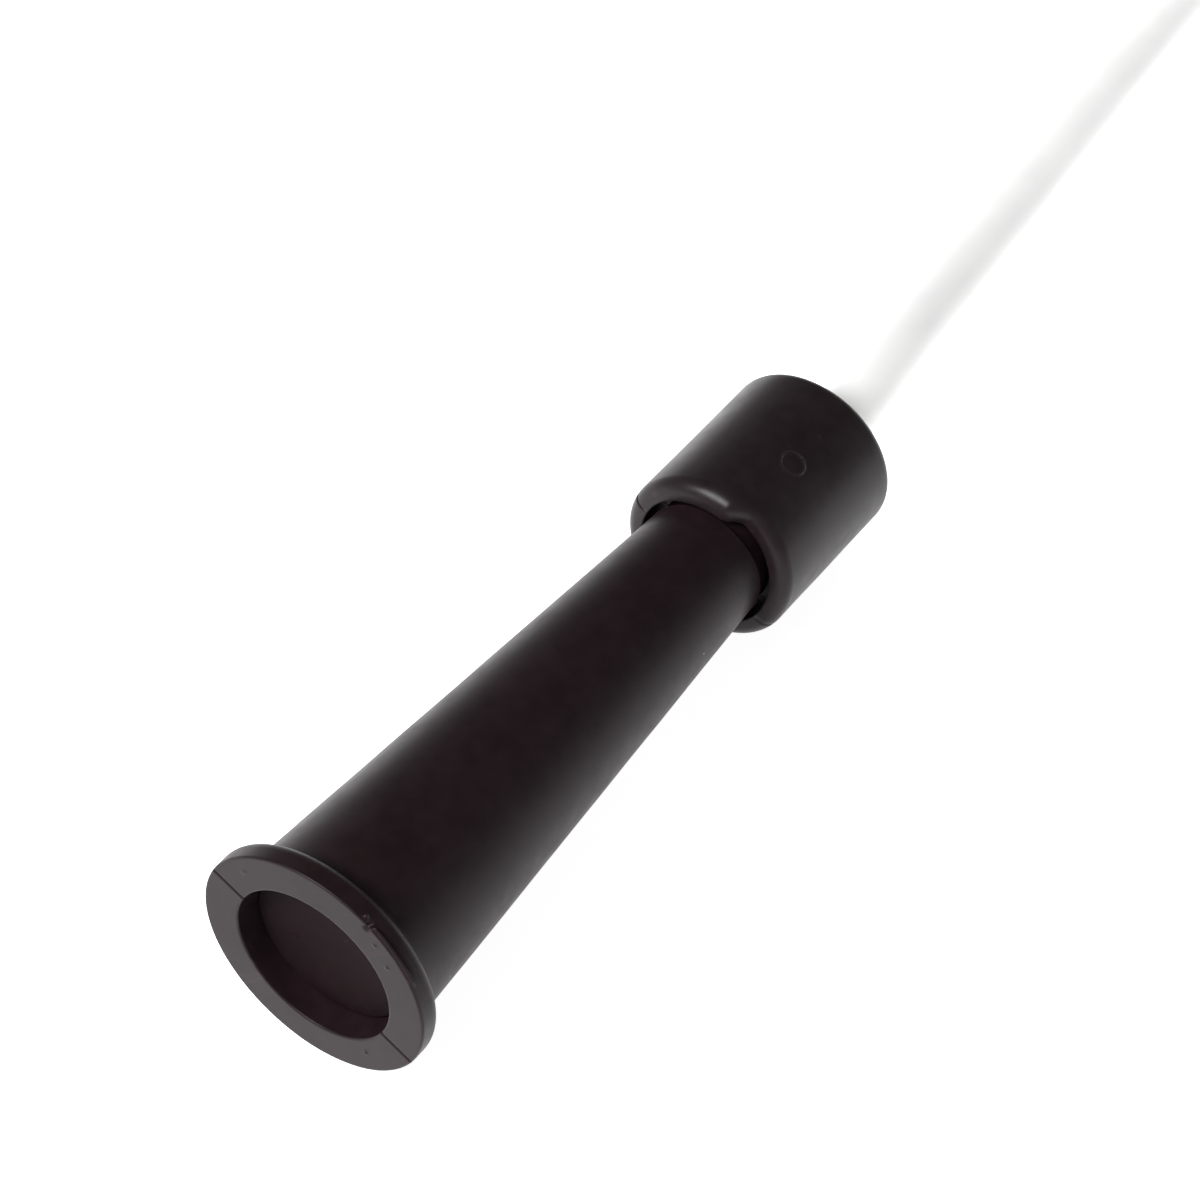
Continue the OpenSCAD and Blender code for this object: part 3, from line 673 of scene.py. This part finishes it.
# The round mould mark on the collar's side, and the pip beside it
MARK_AT = 61.0
MARK_ANGLE = -2.4
MARK_R = 1.1
PIP_AT = 65
PIP_ANGLE = -2.7
# The collar's side in stretches of (from, to, step), with the closest steps at the mark and the pip
SIDE = (
    (GRIP_L + RIM_STEP + MOUTH_ROUND + 0.4, MARK_AT - 2, 1),
    (MARK_AT - 1.9, MARK_AT + 1.9, 0.12),
    (MARK_AT + 2, PIP_AT - 0.8, 0.6),
    (PIP_AT - 0.7, PIP_AT + 0.7, 0.12),
    (PIP_AT + 0.8, HANDLE_L - FAR_ROUND, 0.8),
)


def cam_floor(angle):
    """Distance from the axis to the floor of the cam's pocket, which fades into the bore."""
    turn = math.radians(angle)
    across = CAM_OFFSET * math.sin(turn)
    floor_r = CAM_OFFSET * math.cos(turn) + math.sqrt(CAM_R**2 - across**2)
    return max(floor_r, COLLAR_BORE_R)


def collar_outline(angle):
    """Half profile of the collar, from its mouth's lip round the outside and back through its bore."""
    a = wrapped(angle)
    set_back = RIM_STEP * ease(*RIM_STEP_ANGLES, a) * max(0, math.cos(math.radians(a)))
    swell = ease(*SWELL_START, a) * (1 - ease(*SWELL_STOP, a))
    rim_at = GRIP_L + set_back
    round_r = MOUTH_ROUND + SWELL_ROUND * swell
    lip_r = LIP_R - SWELL_LIP * swell
    lip_end = rim_at + LIP_DEPTH + LIP_CHAMFER
    out = [(lip_end, MOUTH_R), (rim_at + LIP_DEPTH, lip_r)]
    out += arc(rim_at + LIP_ROUND, lip_r + LIP_ROUND, LIP_ROUND, 270, 180, 4)
    out += arc(rim_at + round_r, COLLAR_R - round_r, round_r, 180, 90, 10)
    for start, end, step in SIDE:
        out += rows((start, COLLAR_R), (end, COLLAR_R), step)
    out += arc(HANDLE_L - FAR_ROUND, COLLAR_R - FAR_ROUND, FAR_ROUND, 90, 0)
    out += [(HANDLE_L, END_BORE_R + END_CHAMFER), (HANDLE_L - END_CHAMFER, END_BORE_R)]
    out += [(COLLAR_FLOOR, END_BORE_R), (COLLAR_FLOOR, GROOVE_R), (GROOVE_AT, GROOVE_R)]
    out += [(GROOVE_AT, COLLAR_BORE_R), (LOCK_AT + CAM_HALF_W, COLLAR_BORE_R)]
    cam = cam_floor(a)
    out += [(LOCK_AT + CAM_HALF_W, cam), (LOCK_AT - CAM_HALF_W, cam)]
    out += [(LOCK_AT - CAM_HALF_W, COLLAR_BORE_R), (MOUTH_FLOOR, COLLAR_BORE_R)]
    tooth_r = TOOTH_R if TOOTH[0] < angle < TOOTH[1] else MOUTH_R
    tooth_at = max(STOP_AT, lip_end + 0.01)
    out += [(MOUTH_FLOOR, tooth_r), (tooth_at, tooth_r), (tooth_at, MOUTH_R)]
    return out


def collar_relief(along, radius, angle):
    """Parting groove, an uneven moulded skin, the round mould mark and the pip beside it."""
    a = wrapped(angle)
    if radius < LIP_R + 0.3 or along > HANDLE_L - 0.1:
        return 0
    lifted = -COLLAR_SEAM_DEPTH * hump(arc_mm(radius, abs(a) - COLLAR_SEAM), COLLAR_SEAM_W)
    lifted -= skin_wave(along, radius, a, COLLAR_SKIN_DEPTH, COLLAR_SKIN_WAVE)
    from_mark = math.hypot(along - MARK_AT, arc_mm(COLLAR_R, a - MARK_ANGLE))
    lifted += 0.1 * hump(from_mark - MARK_R, 0.2)
    lifted -= 0.05 * (1 - ease(MARK_R - 0.3, MARK_R, from_mark))
    from_pip = math.hypot(along - PIP_AT, arc_mm(COLLAR_R, a - PIP_ANGLE))
    lifted += 0.08 * hump(from_pip, 0.3)
    return lifted


def make_collar():
    """The collar, with closer angles at the rim's step, the seams and the tooth's sides."""
    finer = [(-16, 12, 0.75), (-98, -90, 0.5), (90, 98, 0.5)]
    finer += [(side - 0.5, side + 0.5, 0.5) for side in TOOTH]
    angles = steps_between(-180, 180, 2.25, finer)
    nodes = ["lock_collar"]
    turned("lock_collar_skin", HANDLE, collar_outline, angles, "collar", "collar", nodes, collar_relief)


# ---- Thumb button -------------------------------------------------------------------------------

# Disc with a shallow dish in its face, and the hub behind it that the rod seats in
BUTTON_R = 7.1
BUTTON_FACE = 2.3
BUTTON_BACK = 5.0
BUTTON_DISH = 0.35
HUB_R = 2.3
HUB_END = 9.0
ROD_SEAT_R = 1.52
ROD_SEAT_AT = 3.65
DISH_STEPS = 30
# The middle of the streak on its face
STREAK_ANGLE = -139
STREAK_R = 4


def button_outline():
    """Half profile of the button: the dished face, the edge, the back and the hub with its seat."""
    rim_r = BUTTON_R - 1
    shares = [i / DISH_STEPS for i in range(DISH_STEPS + 1)]
    dish = [(BUTTON_FACE + BUTTON_DISH * (1 - share**2), rim_r * share) for share in shares]
    edge = arc(BUTTON_FACE + 0.25, BUTTON_R - 0.25, 0.25, 180, 90)
    back = arc(BUTTON_BACK - 0.2, BUTTON_R - 0.2, 0.2, 90, 0, 3)
    hub = arc(BUTTON_BACK + 0.4, HUB_R + 0.4, 0.4, 180, 270, 4)
    hub += [(HUB_END - 0.2, HUB_R), (HUB_END, HUB_R - 0.2), (HUB_END, ROD_SEAT_R)]
    return dish + edge + back + hub + [(ROD_SEAT_AT, ROD_SEAT_R), (ROD_SEAT_AT, 0)]


def button_relief(along, radius, angle):
    """A short raised streak where the mould was filled, and faint rings from the mould's turning."""
    if along > BUTTON_FACE + BUTTON_DISH + 0.05 or radius > BUTTON_R - 0.6:
        return 0
    streak = hump(arc_mm(radius, wrapped(angle) - STREAK_ANGLE), 0.2) * hump(radius - STREAK_R, 0.9)
    return 0.26 * streak + 0.004 * math.sin(radius * 9)


def make_button():
    angles = steps_between(-180, 180, 3, [(STREAK_ANGLE - 5, STREAK_ANGLE + 5, 0.5)])
    outline = button_outline()
    nodes = ["thumb_button"]
    turned("thumb_button_skin", HANDLE, outline, angles, "button", "plunger", nodes, button_relief)


# ---- Return spring ------------------------------------------------------------------------------

SPRING_R = 3.9
SPRING_WIRE_R = 0.35
SPRING_TURNS = 9
SPRING_FROM = 5.1
SPRING_TO = 29.2
# Rise of a closed end turn, and how finely the wire is made
CLOSED_PITCH = 2.12 * SPRING_WIRE_R
STEPS_A_TURN = 40
WIRE_SIDES = 12


def make_spring():
    """Compression spring with one closed turn at each end."""
    low = SPRING_FROM + SPRING_WIRE_R
    high = SPRING_TO - SPRING_WIRE_R
    pitch = (high - low - 2 * CLOSED_PITCH) / (SPRING_TURNS - 2)
    path = []
    for i in range(SPRING_TURNS * STEPS_A_TURN + 1):
        turns = i / STEPS_A_TURN
        if turns < 1:
            along = low + turns * CLOSED_PITCH
        elif turns > SPRING_TURNS - 1:
            along = high - (SPRING_TURNS - turns) * CLOSED_PITCH
        else:
            along = low + CLOSED_PITCH + (turns - 1) * pitch
        path.append(HANDLE.point(along, SPRING_R, 180 - 360 * turns))
    sides = [math.tau * i / WIRE_SIDES for i in range(WIRE_SIDES)]
    section = [(SPRING_WIRE_R * math.cos(t), SPRING_WIRE_R * math.sin(t)) for t in sides]
    nodes = ["return_spring"]
    spring = swept("spring_coil", path, section, "spring_steel", "handle", nodes, up=HANDLE.along)
    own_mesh(spring)


# ---- Camera coupling ----------------------------------------------------------------------------

# Crimped ferrule on the cable
FERRULE_FROM = 4
FERRULE_TO = 13
FERRULE_R = 3.5
FERRULE_EDGE = 0.4
# Two crimped bands of flats, each cut to a depth, and a turned ring groove
CRIMPS_AT = (6, 8.6)
CRIMP_W = 0.75
CRIMP_DEPTH = 0.42
CRIMP_FLATS = 6
RING_AT = 11.2
RING_W = 0.28
RING_DEPTH = 0.12
SHEATH_SEAT_R = 2.92
# Spindle that the sleeve spins on, with the groove of its clip
SPINDLE_R = 2.05
SPINDLE_END = 20.8
TIP_BORE_R = 1.25
CLIP_AT = 19.98
CLIP_W = 0.64
CLIP_SEAT_R = 1.722
# Knurled sleeve, and the room inside it for the clip
SLEEVE_FROM = 13.4
SLEEVE_TO = 22.8
SLEEVE_R = 4.28
SLEEVE_EDGE = 0.5
SLEEVE_SHOULDER = 17.724
SLEEVE_BORE_R = 2.1
SLEEVE_ROOM_R = 3.1
# Diamond knurl: how many round the sleeve, how deep, the length of one, and where they stop
KNURLS = 30
KNURL_DEPTH = 0.3
KNURL_PITCH = 0.9
KNURL_TO = 20.5
# Plain groove near the sleeve's front
SLEEVE_GROOVE_AT = 20.9
SLEEVE_GROOVE_W = 0.35
SLEEVE_GROOVE_DEPTH = 0.28
# Threaded nozzle with its base disc in the sleeve, and the pin that runs through it
NOZZLE_FROM = 21.4
NOZZLE_BASE_R = 3.08
NOZZLE_BORE_R = 0.8
THREAD_FROM = 22.8
THREAD_TO = 28.3
THREAD_BASE_R = 1.95
THREAD_TIP_R = 1.55
THREAD_PITCH = 0.55
THREAD_DEPTH = 0.2
PIN_FROM = 12.2
PIN_R = 0.75
PIN_EDGE = 0.1
NOSE_TO = 29.3
NOSE_R = 0.55
NOSE_ROUND = 0.25


def make_tip_ferrule():
    """Ferrule crimped on the cable in two bands of flats, with the spindle at its far end."""
    outline = arc(FERRULE_FROM + 0.3, FERRULE_R - 0.3, 0.3, 180, 90, 4)
    outline += rows((FERRULE_FROM + 0.3, FERRULE_R), (FERRULE_TO - FERRULE_EDGE, FERRULE_R), 0.15)
    outline += [(FERRULE_TO - FERRULE_EDGE, FERRULE_R), (FERRULE_TO, FERRULE_R - FERRULE_EDGE)]
    outline += [(FERRULE_TO, SPINDLE_R)]
    outline += [(CLIP_AT, SPINDLE_R), (CLIP_AT, CLIP_SEAT_R), (CLIP_AT + CLIP_W, CLIP_SEAT_R)]
    outline += [(CLIP_AT + CLIP_W, SPINDLE_R), (SPINDLE_END, SPINDLE_R), (SPINDLE_END, TIP_BORE_R)]
    outline += [(TIP_SHEATH_L, TIP_BORE_R), (TIP_SHEATH_L, SHEATH_SEAT_R), (FERRULE_FROM, SHEATH_SEAT_R)]

    def relief(along, radius, angle):
        if radius < FERRULE_R - 0.1 or along > FERRULE_TO - 0.5:
            return 0
        each = 360 / CRIMP_FLATS
        from_middle = math.cos(math.radians(each * round(angle / each) - angle))
        crimp = max(hump(along - at, CRIMP_W) for at in CRIMPS_AT)
        lifted = -crimp * (FERRULE_R - (FERRULE_R - CRIMP_DEPTH) / from_middle) if from_middle > 0.9 else 0
        return min(lifted, 0) - RING_DEPTH * hump(along - RING_AT, RING_W)

    angles = steps_between(0, 360, 2.5)
    turned("tip_ferrule_skin", TIP, outline, angles, "nickel", "handle", ["tip_ferrule"], relief, 40)


def make_sleeve():
    """Diamond-knurled sleeve with chamfered ends and a plain groove near its front."""
    corner = (SLEEVE_FROM, SLEEVE_R - SLEEVE_EDGE)
    side_from = (SLEEVE_FROM + SLEEVE_EDGE, SLEEVE_R)
    side_to = (SLEEVE_TO - SLEEVE_EDGE, SLEEVE_R)
    outline = [corner, *rows(corner, side_from, 0.2), side_from, *rows(side_from, side_to, 0.11), side_to]
    outline += [(SLEEVE_TO, SLEEVE_R - SLEEVE_EDGE)]
    outline += [(SLEEVE_TO, SLEEVE_ROOM_R), (SLEEVE_SHOULDER, SLEEVE_ROOM_R)]
    outline += [(SLEEVE_SHOULDER, SLEEVE_BORE_R), (SLEEVE_FROM, SLEEVE_BORE_R)]

    def relief(along, radius, angle):
        if radius < SLEEVE_R - 0.05:
            return 0
        lean = 360 / KNURLS * (along - SLEEVE_FROM) / KNURL_PITCH
        cuts = [abs(math.sin(math.radians((angle + side * lean) * KNURLS / 2))) for side in (-0.5, 0.5)]
        depth = KNURL_DEPTH * (1 - min(1, min(cuts) * 1.5))
        depth *= ease(SLEEVE_FROM + 0.5, SLEEVE_FROM + 0.9, along)
        depth *= 1 - ease(KNURL_TO - 0.3, KNURL_TO, along)
        return -depth - SLEEVE_GROOVE_DEPTH * hump(along - SLEEVE_GROOVE_AT, SLEEVE_GROOVE_W)

    angles = steps_between(0, 360, 1)
    turned("knurled_sleeve", TIP, outline, angles, "nickel", "camera_coupling", ["coupling_sleeve"], relief)


def make_nozzle():
    """Tapered camera thread on a base disc, with a real helical groove."""
    thread = rows((THREAD_FROM, THREAD_BASE_R), (THREAD_TO, THREAD_TIP_R), THREAD_PITCH / 9)
    outline = [(NOZZLE_FROM, NOZZLE_BORE_R), (NOZZLE_FROM, NOZZLE_BASE_R), (THREAD_FROM, NOZZLE_BASE_R)]
    outline += [(THREAD_FROM, THREAD_BASE_R)] + thread
    outline += [(THREAD_TO, THREAD_TIP_R - 0.12), (THREAD_TO, NOZZLE_BORE_R)]

    def relief(along, radius, angle):
        if along <= THREAD_FROM or along >= THREAD_TO or radius < THREAD_TIP_R - 0.05:
            return 0
        share = (along / THREAD_PITCH - angle / 360) % 1
        groove = THREAD_DEPTH * (1 - abs(2 * share - 1))
        return -groove * ease(THREAD_FROM, THREAD_FROM + 0.5, along)

    angles = steps_between(0, 360, 5)
    turned("thread_tip", TIP, outline, angles, "nickel", "camera_coupling", ["thread_nozzle"], relief, 45)


def make_release_pin():
    """Turned pin with a thinner round nose, which stands out of the thread."""
    outline = [(PIN_FROM, 0), (PIN_FROM, PIN_R - PIN_EDGE), (PIN_FROM + PIN_EDGE, PIN_R)]
    outline += [(THREAD_TO - PIN_EDGE, PIN_R), (THREAD_TO, PIN_R - PIN_EDGE), (THREAD_TO, NOSE_R)]
    outline += arc(NOSE_TO - NOSE_ROUND, NOSE_R - NOSE_ROUND, NOSE_ROUND, 90, 0)
    outline += [(NOSE_TO, 0)]
    angles = steps_between(0, 360, 7.5)
    turned("release_pin_turned", TIP, outline, angles, "steel", "release_pin", ["release_pin"])


# ---- Coil tie -----------------------------------------------------------------------------------

# Where the tie is on the coil, in degrees, and its flat band
TIE_TURN = 140
TIE_T = 0.5
TIE_W = 3.0
BAND_STEPS = 16
# Twisted ends: length, lean from upright in degrees, twist over the length in degrees
TIE_END_L = 8.6
TIE_END_LEAN = 68
TIE_END_TWIST = 900
TIE_END_STEPS = 60
# How far each twisted end runs from their middle line, and how much further it splays at its tip
TIE_END_APART = 0.45
TIE_END_SPLAY = 0.35
UP = Vector((0, 0, 1))


def mirrored(half):
    """A closed section from the points of one half, turned half round for the other."""
    return half + [(-across, -over) for across, over in half]


def make_tie_band(middle, outwards, onwards):
    """Flat band with a wire in its middle, round both turns of the coil."""
    band_r = CORD_D / 2 + TIE_T / 2
    low = CORD_D / 2 + TIE_T
    high = 1.5 * CORD_D
    half_turn = [180 * i / BAND_STEPS for i in range(BAND_STEPS + 1)]
    around = [(low, 180 + angle) for angle in half_turn] + [(high, angle) for angle in half_turn]
    band = []
    for height, angle in around:
        turn = math.radians(angle)
        reach = band_r * (math.cos(turn) * outwards + math.sin(turn) * UP)
        band.append(middle + MM * (height * UP + reach))
    half_w = TIE_W / 2
    half_t = TIE_T / 2
    edge_t = 0.5 * half_t
    web_t = 0.45 * half_t
    one_half = [(-edge_t, -half_w), (edge_t, -half_w), (web_t, -0.5), (half_t, -0.25)]
    one_half += [(half_t, 0.25), (web_t, 0.5)]
    section = mirrored(one_half)
    return swept("coil_tie_band", band, section, "tie", "handle", ["coil_tie"], closed=True, up=onwards)


def make_tie_end(name, start, along, onwards, side):
    """One of the tie's two ends, which run side by side as a twisted pair and splay at the tip."""
    strand = []
    for i in range(TIE_END_STEPS + 1):
        share = i / TIE_END_STEPS
        turn = math.radians(side + TIE_END_TWIST * share)
        reach = TIE_END_APART + TIE_END_SPLAY * share**6
        across = math.cos(turn) * onwards + math.sin(turn) * along.cross(onwards)
        strand.append(start + MM * (share * TIE_END_L * along + reach * across))
    section = mirrored([(-0.5, -0.14), (0.5, -0.14), (0.55, 0)])
    return swept(name, strand, section, "tie", "handle", twist=TIE_END_TWIST + side, up=onwards)


def make_tie():
    """Twist tie round the coil: its band, and its two ends twisted on top."""
    turn = math.radians(TIE_TURN)
    outwards = Vector((math.cos(turn), math.sin(turn), 0))
    onwards = Vector((-math.sin(turn), math.cos(turn), 0))
    middle = MM * Vector((*COIL_CENTRE, 0)) + COIL_R * MM * outwards
    lean = math.radians(TIE_END_LEAN)
    along = math.sin(lean) * outwards + math.cos(lean) * UP
    start = middle + MM * (2 * CORD_D * UP + 0.5 * along)
    return [
        make_tie_band(middle, outwards, onwards),
        make_tie_end("coil_tie_end_a", start, along, onwards, 0),
        make_tie_end("coil_tie_end_b", start, along, onwards, 180),
    ]


# ---- CAD nodes that stay ------------------------------------------------------------------------

KEPT_NODES = {
    "plunger_rod": "steel",
    "rod_clip": "spring_steel",
    "wire_crimp": "brass",
    "handle_wire": "wire",
    "guide_bush": "nylon",
    "spring_washer": "steel",
    "lock_pin": "steel",
    "cable_ferrule": "brass",
    "handle_conduit": "conduit",
    "tip_conduit": "conduit",
    "spindle_clip": "spring_steel",
    "pin_crimp": "brass",
    "tip_wire": "wire",
}


def paint_kept_nodes():
    for name, slot in KEPT_NODES.items():
        mesh = frame["nodes"][name].data
        mesh.materials.clear()
        mesh.materials.append(MATERIALS[slot])


# ---- Surroundings -------------------------------------------------------------------------------

# Half the floor's width in metres, and how far it lies under the object's lowest point in millimetres
FLOOR_HALF = 3.0
FLOOR_DROP = 0.02
# Glow of the lit paper, which fades out most of the shadow, as the photo has none
FLOOR_GLOW = 0.9
# Grey of the surroundings, as (height from 0 to 1, grey): bright low down, darker overhead
WORLD_GREYS = ((0.1, 0.6), (0.62, 0.13))
WORLD_STRENGTH = 0.9


def make_floor():
    mesh = bpy.data.meshes.new("floor")
    square = ((-1, -1), (1, -1), (1, 1), (-1, 1))
    corners = [(x * FLOOR_HALF, y * FLOOR_HALF, -FLOOR_DROP * MM) for x, y in square]
    mesh.from_pydata(corners, [], [(0, 1, 2, 3)])
    glow = {"Emission_Color": (1, 1, 1, 1), "Emission_Strength": FLOOR_GLOW}
    paper = Shader("floor_paper", Roughness=0.9, **glow)
    paper.drive("Base Color", paper.blend(paper.noise(40, 2.0), (0.9, 0.9, 0.9), (0.93, 0.93, 0.93)))
    mesh.materials.append(paper.material)
    floor = bpy.data.objects.new("floor", mesh)
    bpy.context.scene.collection.objects.link(floor)


def make_world():
    """Soft studio surroundings."""
    world = bpy.data.worlds.new("studio")
    bpy.context.scene.world = world
    world.use_nodes = True
    tree = world.node_tree
    sky = tree.nodes["Background"]
    height = tree.nodes.new("ShaderNodeSeparateXYZ")
    tree.links.new(tree.nodes.new("ShaderNodeTexCoord").outputs["Generated"], height.inputs[0])
    ramp = tree.nodes.new("ShaderNodeValToRGB")
    tree.links.new(height.outputs["Z"], ramp.inputs[0])
    for stop, (position, grey) in zip(ramp.color_ramp.elements, WORLD_GREYS):
        stop.position = position
        stop.color = (grey, grey, grey, 1)
    tree.links.new(ramp.outputs[0], sky.inputs["Color"])
    sky.inputs["Strength"].default_value = WORLD_STRENGTH


def make_light(name, place, aim, size, power):
    """Round soft light of a size in metres and a power in watts."""
    data = bpy.data.lights.new(name, "AREA")
    data.shape = "DISK"
    data.size = size
    data.energy = power
    light = bpy.data.objects.new(name, data)
    light.location = place
    light.rotation_mode = "QUATERNION"
    light.rotation_quaternion = (Vector(aim) - Vector(place)).to_track_quat("-Z", "Y")
    bpy.context.scene.collection.objects.link(light)


make_camera()
cable = make_cable()
make_shells()
make_collar()
make_button()
make_spring()
make_tip_ferrule()
make_sleeve()
make_nozzle()
make_release_pin()
tie_pieces = make_tie()
paint_kept_nodes()
make_floor()
make_world()
make_light("key", place=(-0.5, 0.2, 0.6), aim=(0, 0, 0), size=0.4, power=9)
bpy.context.scene.view_settings.view_transform = "Standard"
